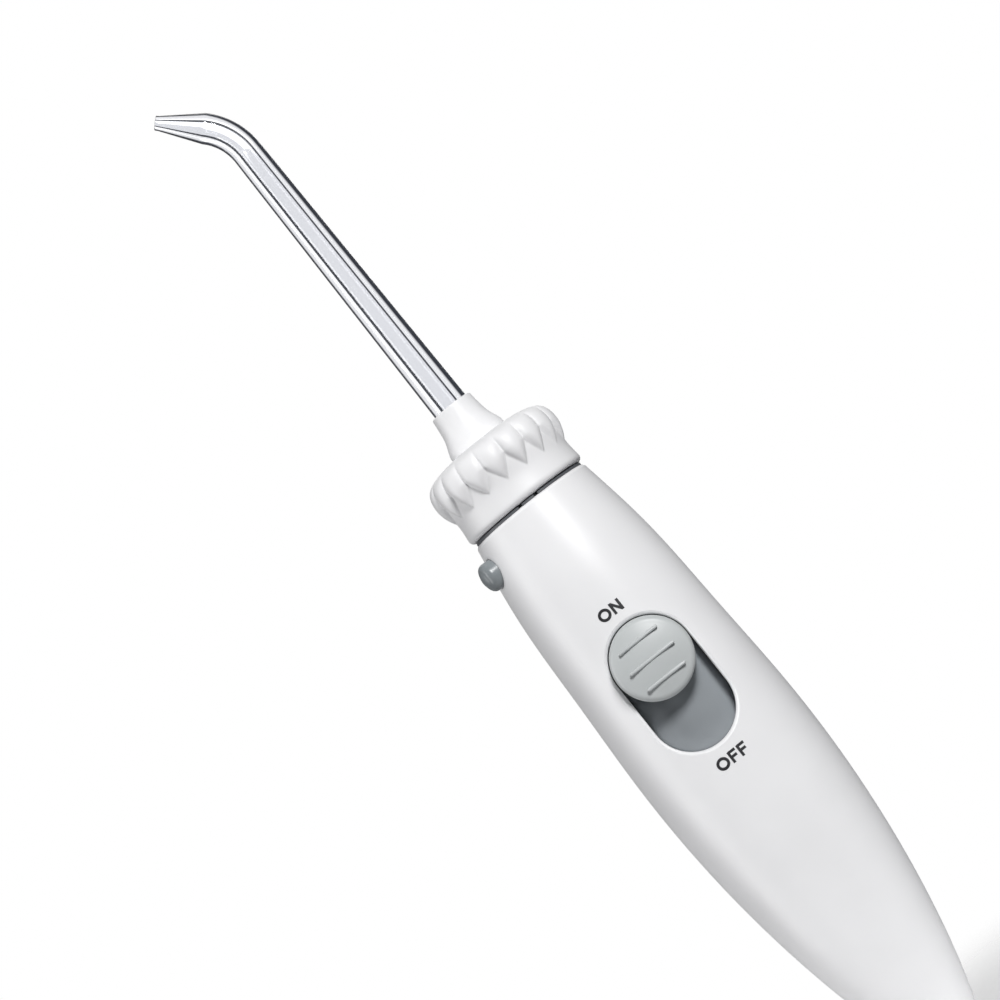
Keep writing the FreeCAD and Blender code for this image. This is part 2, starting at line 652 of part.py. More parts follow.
def pinch_lever():
    """Lever that the switch's cam presses against the hose. Its front is a ramp, so that it turns evenly."""
    back = -HOSE_R - 0.25
    front_top = lever_face(0)
    low = LEVER_PIVOT.z - CAM_REACH - SWITCH_TRAVEL - 1.5
    ramp_points = [lever_face(SWITCH_TRAVEL * share) for share in (0, 0.5, 1)]
    ramp = Part.Arc(*[Vector(0, y, z) for y, z in ramp_points]).toShape()
    ramp_end = ramp_points[-1]
    corners = [ramp_end, (ramp_end[0], low), (-5.4, low), (back - 0.5, 71.0), (back, 72.6), (back, 75.4),
               (back - 0.5, 77.0), (back - 0.5, LEVER_PIVOT.z), (front_top[0], LEVER_PIVOT.z), front_top]
    edges = [ramp]
    for a, b in zip(corners, corners[1:]):
        edges.append(Part.LineSegment(Vector(0, *a), Vector(0, *b)).toShape())
    arm = Part.Face(Part.Wire(edges)).extrude(X * 2 * LEVER_HALF_WIDTH)
    arm.translate(X * -LEVER_HALF_WIDTH)
    hub = Part.makeCylinder(LEVER_HUB_R, 2 * LEVER_HALF_WIDTH, LEVER_PIVOT - X * LEVER_HALF_WIDTH, X)
    lever = arm.fuse(hub)
    lever = lever.cut(Part.makeCylinder(LEVER_PIN_R + 0.05, 20, LEVER_PIVOT - X * 10, X))
    return lever.cut(cylinder(HOSE_R + 0.1, 78.0, 99.0)).removeSplitter()


# ---------------------------------------------------------------- slide switch

def on_switch_axis(radius, near, far):
    """Cylinder on the thumb button's own axis, between two distances in front of the grip's axis."""
    return Part.makeCylinder(radius, far - near, Vector(0, -near, BUTTON_Z), Vector(0, -1, 0))


def button_rib(length, height_offset):
    """Rounded grip rib across the thumb button."""
    reach = length / 2 - BUTTON_RIB_R
    depth = -(BUTTON_TOP - height_offset ** 2 * 0.017)
    centre = Vector(0, depth, BUTTON_Z + height_offset)
    bar = Part.makeCylinder(BUTTON_RIB_R, 2 * reach, centre - X * reach, X)
    ends = [Part.makeSphere(BUTTON_RIB_R, centre + X * side * reach) for side in (-1, 1)]
    return bar.fuse(ends)


def thumb_button():
    """Round button of the slide switch. Its foot follows the curved plate, and its stem goes into the carrier."""
    shoulder = BUTTON_TOP - BUTTON_CROWN - BUTTON_EDGE_ROUND
    edge_centre = BUTTON_R - BUTTON_EDGE_ROUND
    cap = turned([
        segment((0, 5.0), (BUTTON_R, 5.0)),
        segment((BUTTON_R, 5.0), (BUTTON_R, shoulder)),
        arc((BUTTON_R, shoulder), (BUTTON_R - 0.3, shoulder + 0.85), (edge_centre, BUTTON_TOP - BUTTON_CROWN)),
        arc((edge_centre, BUTTON_TOP - BUTTON_CROWN), (edge_centre * 0.55, BUTTON_TOP - 0.27), (0, BUTTON_TOP)),
        segment((0, BUTTON_TOP), (0, 5.0)),
    ])
    cap.rotate(Vector(0, 0, 0), X, 90)
    cap.translate(Vector(0, 0, BUTTON_Z))
    cap = cap.cut(cylinder(PLATE_OUT_R + 0.02, 60, 110))
    offsets = (BUTTON_RIB_PITCH, 0, -BUTTON_RIB_PITCH)
    ribs = [button_rib(length, offset) for length, offset in zip(BUTTON_RIB_LENGTHS, offsets)]
    stem = on_switch_axis(STEM_R, 7.2, 13.0)
    return cap.fuse(ribs + [stem]).removeSplitter()


def slide_plate():
    """Curved cover that travels with the button and keeps the slot closed from end to end."""
    low = SLOT_OFF_Z - SLOT_R - PLATE_OVERLAP
    high = SLOT_ON_Z + SLOT_R + SWITCH_TRAVEL + PLATE_OVERLAP - 0.3
    plate = ring(PLATE_IN_R, PLATE_OUT_R, low, high)
    plate = plate.common(block(-PLATE_HALF_WIDTH, PLATE_HALF_WIDTH, -15, -3, low, high))
    return plate.cut(on_switch_axis(STEM_R + 0.02, 5.0, 15.0))


def slide_carrier():
    """Block behind the plate that runs in the chassis rails and carries the cam."""
    cam_z = LEVER_PIVOT.z - CAM_REACH
    low, high = cam_z - CAM_R, BUTTON_Z + 6.2
    body = block(-4.8, 4.8, -9.0, -6.4, low, high)
    runners = block(-5.75, 5.75, RAIL_FRONT + 0.12, RAIL_BACK - 0.12, low + 0.5, high - 0.5)
    runners = runners.cut(block(-4.3, 4.3, -10, -3, low, high))
    cam = Part.makeCylinder(CAM_R, 5.6, Vector(-2.8, CAM_BACK - CAM_R, cam_z), X)
    body = body.fuse([runners, cam])
    return body.cut(on_switch_axis(STEM_R, 7.2, 12.0)).removeSplitter()


# ---------------------------------------------------------------- writing the pieces

def build():
    tube = grip_tube()
    pieces = {
        "front_casing": front_casing(tube),
        "rear_casing": rear_casing(tube),
        "hose_gland": hose_gland(),
        "gland_seal": gland_seal(),
        "inlet_barb": inlet_barb(),
        "inner_hose": inner_hose(),
        "hose_clamps": hose_clamps(),
        "outlet_fitting": outlet_fitting(),
        "tip_seal": tip_seal(),
        "neck_spigot": neck_spigot(),
        "thrust_washer": thrust_washer(),
        "knob_clip": knob_clip(),
        "rotation_knob": rotation_knob(),
        "tip_holder": tip_holder(),
        "holder_seal": holder_seal(),
        "jet_tip": jet_tip(),
        "tip_band": tip_band(),
        "tip_latch": tip_latch(),
        "eject_button": eject_button(),
        "eject_plunger": eject_plunger(),
        "eject_spring": eject_spring(),
        "valve_chassis": valve_chassis(),
        "chassis_screws": chassis_screws(),
        "lever_pin": lever_pin(),
        "pinch_lever": pinch_lever(),
        "thumb_button": thumb_button(),
        "slide_plate": slide_plate(),
        "slide_carrier": slide_carrier(),
    }
    os.makedirs("parts", exist_ok=True)
    for name, shape in pieces.items():
        sound = shape.isValid() and all(s.isClosed() for s in shape.Solids)
        print(f"{name:16s} solids {len(shape.Solids)}  volume {shape.Volume:9.1f} mm3  {'ok' if sound else 'BAD'}")
        shape.exportStep(f"parts/{name}.step")


build()
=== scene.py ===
import json
import math

import bmesh
import bpy
import numpy as np
from mathutils import Matrix, Vector


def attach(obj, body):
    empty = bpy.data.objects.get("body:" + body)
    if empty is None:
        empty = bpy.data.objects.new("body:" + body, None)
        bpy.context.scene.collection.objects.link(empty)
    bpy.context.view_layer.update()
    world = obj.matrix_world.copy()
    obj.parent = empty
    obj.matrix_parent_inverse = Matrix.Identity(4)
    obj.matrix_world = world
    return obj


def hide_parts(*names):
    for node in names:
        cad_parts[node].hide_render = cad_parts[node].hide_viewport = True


MM = 0.001

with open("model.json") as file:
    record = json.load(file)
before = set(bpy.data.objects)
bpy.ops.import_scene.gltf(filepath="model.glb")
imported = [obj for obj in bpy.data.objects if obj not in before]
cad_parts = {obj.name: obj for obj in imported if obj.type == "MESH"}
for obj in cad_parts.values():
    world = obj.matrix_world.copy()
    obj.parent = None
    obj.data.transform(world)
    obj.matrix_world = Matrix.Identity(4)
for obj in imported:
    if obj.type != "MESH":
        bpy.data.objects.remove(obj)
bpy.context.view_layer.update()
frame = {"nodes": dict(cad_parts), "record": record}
nodes = frame["nodes"]

# ------------------------------------------------------------------ sizes, in millimetres

GRIP_OUTLINE = [
    (11.93, 118.1), (13.1, 111.0), (14.05, 103.5), (14.95, 87.0), (15.75, 68.0),
    (14.8, 44.3), (12.4, 27.2), (8.3, 10.0), (6.6, 4.6),
]
GRIP_LOW, GRIP_HIGH = 4.0, 119.0
NECK_ROUND, TAIL_ROUND = 0.9, 0.6
WALL = 2.0
TAIL_BORE_R, TAIL_BORE_TOP = 4.6, 16.5
NECK_BORE_R = 9.7
BAY_LOW, BAY_HIGH = 55.3, 104.6
SEAM_HALF_GAP = 0.03
SEAM_ROUND = 0.16

SLOT_R = 7.55
SLOT_ON_Z, SLOT_OFF_Z = 85.05, 74.55
RIM_ROUND = 0.7
SWITCH_TRAVEL = 10.3
PLATE_OUT_R, PLATE_IN_R, PLATE_HALF = 11.6, 10.4, 9.0
PLATE_CLEARANCE = 0.25
PLATE_OVER_LOW, PLATE_OVER_HIGH = 1.3, 1.0
PLATE_EDGE = 0.12

BUTTON_R, BUTTON_Z = 7.32, 85.05
BUTTON_FOOT, BUTTON_TOP = 11.7, 17.3
BUTTON_CROWN, BUTTON_EDGE = 0.9, 1.3
RIB_LENGTHS = (8.1, 9.4, 8.1)
RIB_PITCH = 3.85
RIB_R = 0.32
RIB_FALL = 0.017

KNOB_LOW, KNOB_CEILING, KNOB_HIGH = 119.65, 129.8, 133.0
KNOB_BORE_R, KNOB_HOLE_R = 9.1, 5.72
KNOB_RIM_R, KNOB_RIM_ROUND = 11.25, 0.9
KNOB_SKIN_R, KNOB_SKIN_Z = 9.3, 131
LOBED_IN_R, LOBED_TOP = 6, 132.95
LOBES = 18
LOBE_R, LOBE_ARC_R = 2.77, 7.5
LOBE_ARC_CENTRE = (5.92, 128.6)
LOBE_POINT_Z, LOBE_WIDE_Z = 123.7, 128.2

TIP_TURN = math.radians(10)
TIP_BEND = math.radians(46)
TIP_CORNER, TIP_NOZZLE, TIP_BEND_R = 202.7, 13.3, 11.0
TIP_FOOT_Z, TIP_HUB_Z, TIP_TUBE_Z = 101.5, 109.2, 141.0
HUB_R, HUB_FLAT = 3.3, 2.9
TUBE_R, TUBE_BEND_R, NOZZLE_R = 3.35, 2.75, 1.2
BORE_R, BORE_BEND_R, JET_R = 1.4, 1.15, 0.45
GROOVE_R, GROOVE_HALF = 2.45, 0.7

EJECT_Z, EJECT_AZIMUTH = 113.3, math.radians(71)
EJECT_R, EJECT_FOOT, EJECT_FACE = 2.7, 11.2, 15.3
EJECT_CROWN, EJECT_EDGE = 0.45, 1.2
EJECT_CLEARANCE = 0.1

LEGEND_HEIGHT, LEGEND_PROUD = 2.15, 0.07

FLOOR_FADE_START, FLOOR_FADE_END = 15, 160


# ------------------------------------------------------------------ lines

def smooth_line(points, spacing=0.5):
    """Points along the natural cubic spline through the given ones, evenly spread between them."""
    p = np.array(points, float)
    gaps = np.linalg.norm(np.diff(p, axis=0), axis=1)
    count = len(p)
    system = np.eye(count)
    right = np.zeros_like(p)
    for i in range(1, count - 1):
        before, after = gaps[i - 1], gaps[i]
        system[i, i - 1:i + 2] = before, 2 * (before + after), after
        right[i] = 6 * ((p[i + 1] - p[i]) / after - (p[i] - p[i - 1]) / before)
    curl = np.linalg.solve(system, right)
    out = []
    for i, gap in enumerate(gaps):
        steps = max(2, round(gap / spacing))
        for t in np.arange(steps) / steps:
            a, b = 1 - t, t
            bow = (a ** 3 - a) * curl[i] + (b ** 3 - b) * curl[i + 1]
            out.append(a * p[i] + b * p[i + 1] + bow * gap * gap / 6)
    out.append(p[-1])
    return [tuple(q) for q in out]


def rounding(centre, radius, start, end, steps=6):
    """Points on an arc about a (radius, height) centre, with both angles in degrees."""
    turns = np.radians(np.linspace(start, end, steps + 1))
    return [(centre[0] + radius * math.cos(t), centre[1] + radius * math.sin(t)) for t in turns]


def straight(start, end, steps):
    """Points along the straight line between two (radius, height) points, after its start."""
    shares = np.linspace(0, 1, steps + 1)[1:]
    return [(start[0] + (end[0] - start[0]) * t, start[1] + (end[1] - start[1]) * t) for t in shares]


def domed_cap(radius, foot, top, crown, edge, edge_turn, edge_steps, dome_steps):
    """Half outline of a round cap, from its foot over a rounded edge to the middle of its dome."""
    points = [(0, foot), (radius, foot)]
    points += rounding((radius - edge, top - crown - edge), edge, 0, edge_turn, edge_steps)
    dome_r, dome_low = points[-1]
    for r in np.linspace(dome_r, 0, dome_steps)[1:]:
        points.append((r, dome_low + (top - dome_low) * (1 - (r / dome_r) ** 2)))
    return points


GRIP_LINE = smooth_line(GRIP_OUTLINE)
GRIP_RADII, GRIP_HEIGHTS = [np.array(column)[::-1] for column in zip(*GRIP_LINE)]


def grip_radius(height):
    """Radius of the grip's skin at a height."""
    return float(np.interp(height, GRIP_HEIGHTS, GRIP_RADII))


def skin_y(x, z):
    """How far in front of the axis the grip's skin is, as a Y coordinate."""
    return -math.sqrt(grip_radius(z) ** 2 - x * x)


# ------------------------------------------------------------------ shaping

def profile_wire(bm, points, closed):
    """Adds (radius, height) points to the bmesh as one chain of edges."""
    verts = [bm.verts.new((r, 0, z)) for r, z in points]
    edges = [bm.edges.new(pair) for pair in zip(verts, verts[1:])]
    if closed:
        edges.append(bm.edges.new((verts[-1], verts[0])))
    return verts, edges


def lathe(points, steps=96, closed=False):
    """Surface of revolution about Z from (radius, height) points."""
    bm = bmesh.new()
    verts, edges = profile_wire(bm, points, closed)
    bmesh.ops.spin(bm, geom=verts + edges, cent=(0, 0, 0), axis=(0, 0, 1), angle=2 * math.pi,
                   steps=steps, use_merge=True)
    bmesh.ops.remove_doubles(bm, verts=bm.verts, dist=1e-4)
    bmesh.ops.recalc_face_normals(bm, faces=bm.faces)
    return bm


def half_turned(points, side):
    """Closed solid from a filled cross-section turned through half a turn, to the front (-1) or the rear
    (1)."""
    bm = bmesh.new()
    verts, edges = profile_wire(bm, points, True)
    face = bmesh.ops.contextual_create(bm, geom=edges)["faces"]
    bmesh.ops.spin(bm, geom=verts + edges + face, cent=(0, 0, 0), axis=(0, 0, 1),
                   angle=side * math.pi, steps=96)
    bmesh.ops.remove_doubles(bm, verts=bm.verts, dist=1e-4)
    bmesh.ops.recalc_face_normals(bm, faces=bm.faces)
    bmesh.ops.translate(bm, verts=bm.verts, vec=(0, side * SEAM_HALF_GAP, 0))
    return bm


def to_eject_axis(bm):
    """Lays a shape made standing on Z along the eject button's axis."""
    lay = Matrix.Rotation(math.pi + math.pi / 2 - EJECT_AZIMUTH, 4, "Z") @ Matrix.Rotation(math.pi / 2, 4,
                                                                                           "Y")
    bmesh.ops.transform(bm, matrix=Matrix.Translation((0, 0, EJECT_Z)) @ lay, verts=bm.verts)


def to_front(bm, z):
    """Lays a shape made standing on Z along the front, at a height."""
    lay = Matrix.Translation((0, 0, z)) @ Matrix.Rotation(math.pi / 2, 4, "X")
    bmesh.ops.transform(bm, matrix=lay, verts=bm.verts)


def mark_creases(bm, degrees):
    """Marks which edges of a bmesh are sharp: those that turn more than so many degrees."""
    for edge in bm.edges:
        edge.smooth = edge.calc_face_angle(0) < math.radians(degrees)


def make_object(name, bm, crease=35):
    """Object from a bmesh in millimetres, smooth except across edges sharper than crease degrees."""
    for face in bm.faces:
        face.smooth = True
    mark_creases(bm, crease)
    bmesh.ops.scale(bm, vec=(MM, MM, MM), verts=bm.verts)
    mesh = bpy.data.meshes.new(name)
    bm.to_mesh(mesh)
    bm.free()
    obj = bpy.data.objects.new(name, mesh)
    bpy.context.scene.collection.objects.link(obj)
    return obj


def settle(obj):
    """Applies an object's modifiers to its mesh."""
    depsgraph = bpy.context.evaluated_depsgraph_get()
    mesh = bpy.data.meshes.new_from_object(obj.evaluated_get(depsgraph))
    obj.modifiers.clear()
    obj.data = mesh


def cut_out(obj, crease, *cutters):
    """Cuts tools out of an object, removes them, and marks its creases again."""
    for cutter in cutters:
        cut = obj.modifiers.new("cut", "BOOLEAN")
        cut.operation = "DIFFERENCE"
        cut.solver = "EXACT"
        cut.object = cutter
    settle(obj)
    for cutter in cutters:
        bpy.data.objects.remove(cutter)
    bm = bmesh.new()
    bm.from_mesh(obj.data)
    mark_creases(bm, crease)
    bm.to_mesh(obj.data)
    bm.free()


def finish_piece(obj, material, body, stands_for):
    """Gives a piece its material and the body it rides on, and hides the CAD node it stands for, if any."""
    obj.data.materials.clear()
    obj.data.materials.append(material)
    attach(obj, body)
    if stands_for:
        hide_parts(stands_for)


# ------------------------------------------------------------------ materials

def paint(hex_value):
    """Opaque linear colour from an sRGB hex value."""
    channels = [int(hex_value[i:i + 2], 16) / 255 for i in (1, 3, 5)]
    return [c / 12.92 if c <= 0.04045 else ((c + 0.055) / 1.055) ** 2.4 for c in channels] + [1.0]


def add(tree, kind, settings=None, links=None):
    """Adds a shader node, sets its properties or sockets, and links its sockets from (node, output) pairs."""
    made = tree.nodes.new(kind)
    for key, value in (settings or {}).items():
        if key in made.inputs:
            made.inputs[key].default_value = value
        else:
            setattr(made, key, value)
    for key, (source, output) in (links or {}).items():
        tree.links.new(source.outputs[output], made.inputs[key])
    return made


def new_material(name, shader):
    """Material with one Principled shader, given its socket values. Returns it, its tree and the shader."""
    material = bpy.data.materials.new(name)
    material.use_nodes = True
    tree = material.node_tree
    tree.nodes.clear()
    surface = add(tree, "ShaderNodeBsdfPrincipled", shader)
    add(tree, "ShaderNodeOutputMaterial", None, {"Surface": (surface, "BSDF")})
    return material, tree, surface


def noise(tree, per_metre, detail):
    """Noise on object coordinates, so many cells to the metre."""
    place = add(tree, "ShaderNodeTexCoord")
    settings = {"Scale": per_metre, "Detail": detail, "Roughness": 0.5}
    return add(tree, "ShaderNodeTexNoise", settings, {"Vector": (place, "Object")})


def vary_roughness(tree, surface, pattern, low, high):
    """Spreads the roughness over a span, following a pattern."""
    span = add(tree, "ShaderNodeMapRange", {"To Min": low, "To Max": high}, {"Value": (pattern, "Fac")})
    tree.links.new(span.outputs["Result"], surface.inputs["Roughness"])


def two_tones(tree, source, output, low, first, high, second):
    """Ramp from the first colour, at the low value of an output, to the second, at the high value."""
    ramp = add(tree, "ShaderNodeValToRGB", None, {"Fac": (source, output)})
    for stop, value, colour in zip(ramp.color_ramp.elements, (low, high), (first, second)):
        stop.position = value
        stop.color = paint(colour)
    return ramp


def vary_colour(tree, surface, pattern, first, second):
    """Drifts the base colour between two close tones, following a pattern."""
    ramp = two_tones(tree, pattern, "Fac", 0.35, first, 0.65, second)
    tree.links.new(ramp.outputs["Color"], surface.inputs["Base Color"])


def emboss(tree, surface, pattern, depth_mm, strength):
    """Raises a pattern on the surface as bump, of a real depth."""
    bump = add(tree, "ShaderNodeBump", {"Distance": depth_mm * MM, "Strength": strength},
               {"Height": (pattern, "Fac")})
    tree.links.new(bump.outputs["Normal"], surface.inputs["Normal"])


def gloss_moulding(name, first, second, low, high, ripple_mm=0.004):
    """Injection-moulded ABS from a polished tool: a clean gloss with a faint, slow ripple of the moulded
    skin."""
    material, tree, surface = new_material(name, {"IOR": 1.53})
    vary_colour(tree, surface, noise(tree, 60, 2), first, second)
    vary_roughness(tree, surface, noise(tree, 300, 3), low, high)
    emboss(tree, surface, noise(tree, 160, 1), ripple_mm, 0.5)
    return material


def satin_moulding(name, first, second, low, high):
    """Moulding from a spark-eroded tool: an even grain of 0.25 mm that breaks up the highlight."""
    material, tree, surface = new_material(name, {"IOR": 1.5})
    vary_colour(tree, surface, noise(tree, 90, 2), first, second)
    vary_roughness(tree, surface, noise(tree, 500, 2), low, high)
    emboss(tree, surface, noise(tree, 1 / (0.25 * MM), 2), 0.006, 0.6)
    return material


white_abs = gloss_moulding("white_abs_polished_moulding", "#F3F3F4", "#F7F7F8", 0.34, 0.42)
knob_abs = gloss_moulding("white_abs_knob_moulding", "#F2F2F3", "#F6F6F7", 0.42, 0.5, 0.003)
button_abs = satin_moulding("light_grey_abs_satin_moulding", "#C2C6C6", "#C9CDCD", 0.34, 0.44)
plate_abs = satin_moulding("mid_grey_abs_slide_plate", "#8E9397", "#969B9F", 0.38, 0.5)
eject_abs = satin_moulding("grey_abs_eject_button", "#868C8F", "#909598", 0.24, 0.34)
dark_acetal = satin_moulding("dark_grey_acetal_moulding", "#54575B", "#5E6165", 0.4, 0.55)
natural_acetal = satin_moulding("natural_acetal_moulding", "#DEDED8", "#E6E6E0", 0.38, 0.5)
marker_plastic = satin_moulding("blue_marker_plastic", "#85B2DB", "#8FBAE0", 0.25, 0.35)


def soft_rubber(name, first, second, roughness):
    """Moulded rubber: no clear highlight, and a faint bloom of lighter patches."""
    material, tree, surface = new_material(name, {"IOR": 1.45, "Sheen Weight": 0.15})
    vary_colour(tree, surface, noise(tree, 400, 4), first, second)
    vary_roughness(tree, surface, noise(tree, 900, 2), roughness - 0.08, roughness + 0.08)
    emboss(tree, surface, noise(tree, 5000, 2), 0.01, 0.5)
    return material


black_rubber = soft_rubber("black_nitrile_rubber", "#121212", "#1D1D1D", 0.62)
clear_silicone = soft_rubber("extruded_silicone_hose", "#C6C8C6", "#D2D4D2", 0.5)


def drawn_steel():
    """Drawn and tumbled stainless steel: fine random scratches in a soft metal shine."""
    material, tree, surface = new_material("drawn_stainless_steel", {"Metallic": 1.0})
    vary_colour(tree, surface, noise(tree, 700, 3), "#AEB1B4", "#C3C6C9")
    vary_roughness(tree, surface, noise(tree, 3000, 4), 0.22, 0.4)
    emboss(tree, surface, noise(tree, 6000, 3), 0.002, 0.6)
    return material


def clear_polycarbonate():
    """Clear polycarbonate from a polished tool, with a very faint waviness."""
    glass = {"IOR": 1.56, "Transmission Weight": 1.0, "Base Color": paint("#FAFBFD")}
    material, tree, surface = new_material("clear_polycarbonate_moulding", glass)
    vary_roughness(tree, surface, noise(tree, 200, 2), 0.02, 0.05)
    emboss(tree, surface, noise(tree, 120, 1), 0.004, 0.4)
    return material


def pad_print():
    """Pad-printed ink: a thin dark film, nearly matt."""
    material, tree, surface = new_material("dark_grey_pad_print_ink", {"IOR": 1.45})
    vary_colour(tree, surface, noise(tree, 1500, 2), "#2A2A2D", "#323235")
    vary_roughness(tree, surface, noise(tree, 2500, 2), 0.42, 0.55)
    return material


steel = drawn_steel()
polycarbonate = clear_polycarbonate()
ink = pad_print()

SLOT_MATERIALS = {
    "white_abs": white_abs, "light_grey_abs": button_abs, "plate_grey_abs": plate_abs,
    "mid_grey_abs": eject_abs, "dark_grey_acetal": dark_acetal, "natural_acetal": natural_acetal,
    "clear_polycarbonate": polycarbonate, "blue_marker": marker_plastic, "black_rubber": black_rubber,
    "silicone": clear_silicone, "steel": steel,
}

for subpart in frame["record"]["subparts"]:
    carried = nodes[subpart["node"]]
    carried.data.materials.clear()
    carried.data.materials.append(SLOT_MATERIALS[subpart["material_slot"]])


# ------------------------------------------------------------------ grip

def grip_section():
    """Closed cross-section of the grip's wall, thicker behind the switch so that the slot has a full wall."""
    neck_r, neck_z = GRIP_OUTLINE[0]
    tail_r, tail_z = GRIP_OUTLINE[-1]
    outside = rounding((neck_r - NECK_ROUND, neck_z), NECK_ROUND, 90, 0)
    outside += GRIP_LINE[1:]
    outside += rounding((tail_r - TAIL_ROUND, tail_z), TAIL_ROUND, 0, -90)[1:]
    thick_r = PLATE_OUT_R + PLATE_CLEARANCE
    inside = [(TAIL_BORE_R, GRIP_LOW), (TAIL_BORE_R, TAIL_BORE_TOP)]
    inside += [(grip_radius(z) - WALL, z) for z in np.arange(TAIL_BORE_TOP, BAY_LOW - 0.7, 4)]
    inside += [(grip_radius(BAY_LOW - 0.3) - WALL, BAY_LOW - 0.3), (thick_r, BAY_LOW), (thick_r, BAY_HIGH)]
    inside += [(NECK_BORE_R, BAY_HIGH + 0.4), (NECK_BORE_R, GRIP_HIGH)]
    return outside + inside


def round_seam(bm, side):
    """Rounds the long outside edges that meet at the seam."""
    edges = []
    for edge in bm.edges:
        on_seam = all(abs(v.co.y - side * SEAM_HALF_GAP) < 1e-4 for v in edge.verts)
        outside = all(abs(abs(v.co.x) - grip_radius(v.co.z)) < 0.02 for v in edge.verts)
        inside_ends = all(GRIP_LOW + 0.7 < v.co.z < GRIP_HIGH - 1 for v in edge.verts)
        if on_seam and outside and inside_ends:
            edges.append(edge)
    bmesh.ops.bevel(bm, geom=edges, offset=SEAM_ROUND, segments=2, profile=0.5, affect="EDGES", material=-1)


def slot_tool():
    """Cutter for the switch slot, flared so that it leaves a rounded rim that follows the grip's skin."""
    front_y, back_y, wall_depth = -22.0, -4.0, 2.2
    bm = bmesh.new()
    bmesh.ops.create_circle(bm, segments=96, radius=SLOT_R)
    bmesh.ops.rotate(bm, cent=(0, 0, 0), matrix=Matrix.Rotation(math.pi / 2, 3, "X"), verts=bm.verts)
    bmesh.ops.bisect_plane(bm, geom=bm.verts[:] + bm.edges[:], plane_co=(0, 0, 0), plane_no=(0, 0, 1),
                           dist=1e-4)
    for vert in bm.verts:
        vert.co.z += SLOT_ON_Z if vert.co.z > -1e-4 else SLOT_OFF_Z
    long_edges = [e for e in bm.edges if abs(e.verts[0].co.z - e.verts[1].co.z) > 5]
    bmesh.ops.subdivide_edges(bm, edges=long_edges, cuts=27)
    # Each ring is wider than the slot by its first number, and as deep under the skin as its second.
    rings = [(RIM_ROUND + 0.1, -1.0)]
    for degrees in np.arange(14, 91, 6.3):
        t = math.radians(degrees)
        rings.append((RIM_ROUND * (1 - math.sin(t)), RIM_ROUND * (1 - math.cos(t))))
    rings.append((0.0, wall_depth))

    def spine(vert):
        return Vector((0, vert.co.y, min(max(vert.co.z, SLOT_OFF_Z), SLOT_ON_Z)))

    def offset(verts, spread, depth=None, flat=None):
        for vert in verts:
            middle = spine(vert)
            outward = (vert.co - middle).normalized()
            vert.co = middle + outward * (SLOT_R + spread)
            vert.co.y = flat if depth is None else skin_y(vert.co.x, vert.co.z) + depth

    def extrude(edges):
        made = bmesh.ops.extrude_edge_only(bm, edges=edges)["geom"]
        new_edges = [g for g in made if isinstance(g, bmesh.types.BMEdge)]
        new_verts = [g for g in made if isinstance(g, bmesh.types.BMVert)]
        loop = [e for e in new_edges if all(v in set(new_verts) for v in e.verts)]
        return loop, new_verts

    edges = first_loop = bm.edges[:]
    offset(bm.verts, rings[0][0], flat=front_y)
    for spread, depth in rings:
        edges, verts = extrude(edges)
        offset(verts, spread, depth)
    edges, verts = extrude(edges)
    offset(verts, 0.0, flat=back_y)
    bmesh.ops.contextual_create(bm, geom=first_loop)
    bmesh.ops.contextual_create(bm, geom=edges)
    bmesh.ops.recalc_face_normals(bm, faces=bm.faces)
    return make_object("slot_tool", bm)


def eject_tool():
    """Cutter for the eject button's hole."""
    hole_r, start, end = EJECT_R + EJECT_CLEARANCE, 9.0, 20.0
    bm = lathe([(0, start), (hole_r, start), (hole_r, end), (0, end)], 48)
    to_eject_axis(bm)
    return make_object("eject_tool", bm)


def make_grip():
    """Front and rear shells, which meet at the sides. The front one has the slot and the eject button's
    hole."""
    section = grip_section()
    for side, name, node in ((-1, "grip_front", "front_casing"), (1, "grip_rear", "rear_casing")):
        bm = half_turned(section, side)
        round_seam(bm, side)
        shell = make_object(name, bm)
        if side == -1:
            cut_out(shell, 9, slot_tool(), eject_tool())
        finish_piece(shell, white_abs, "handle", node)


def make_gland():
    """Gland that closes the tail, with a rounded foot and an open bore for the hose."""
    points = [(2.9, 0), (4.4, 0)]
    points += rounding((4.4, 1.2), 1.2, -90, 0)
    points += [(5.6, 4.0), (4.55, 4.0), (4.55, 14.0), (3.7, 14.0), (3.7, 8.0), (2.9, 8.0)]
    gland = make_object("tail_gland", lathe(points, 72, closed=True))
    finish_piece(gland, white_abs, "handle", "hose_gland")


# ------------------------------------------------------------------ switch

def make_slide_plate():
    """Curved cover behind the button, long enough to close the slot over the whole travel."""
    low = SLOT_OFF_Z - SLOT_R - PLATE_OVER_LOW
    high = SLOT_ON_Z + SLOT_R + SWITCH_TRAVEL + PLATE_OVER_HIGH
    half_angle = math.asin(PLATE_HALF / PLATE_OUT_R)
    bm = bmesh.new()
    section = [(PLATE_OUT_R, low), (PLATE_OUT_R, high), (PLATE_IN_R, high), (PLATE_IN_R, low)]
    verts, edges = profile_wire(bm, section, True)
    face = bmesh.ops.contextual_create(bm, geom=edges)["faces"]
    bmesh.ops.spin(bm, geom=verts + edges + face, cent=(0, 0, 0), axis=(0, 0, 1),
                   angle=2 * half_angle, steps=40)
    turn = Matrix.Rotation(-math.pi / 2 - half_angle, 3, "Z")
    bmesh.ops.rotate(bm, cent=(0, 0, 0), matrix=turn, verts=bm.verts)
    bmesh.ops.recalc_face_normals(bm, faces=bm.faces)
    bmesh.ops.bevel(bm, geom=[e for e in bm.edges if e.calc_face_angle(0) > 1], offset=PLATE_EDGE,
                    segments=2, profile=0.5, affect="EDGES", material=-1)
    plate = make_object("slide_cover", bm)
    finish_piece(plate, plate_abs, "switch", "slide_plate")


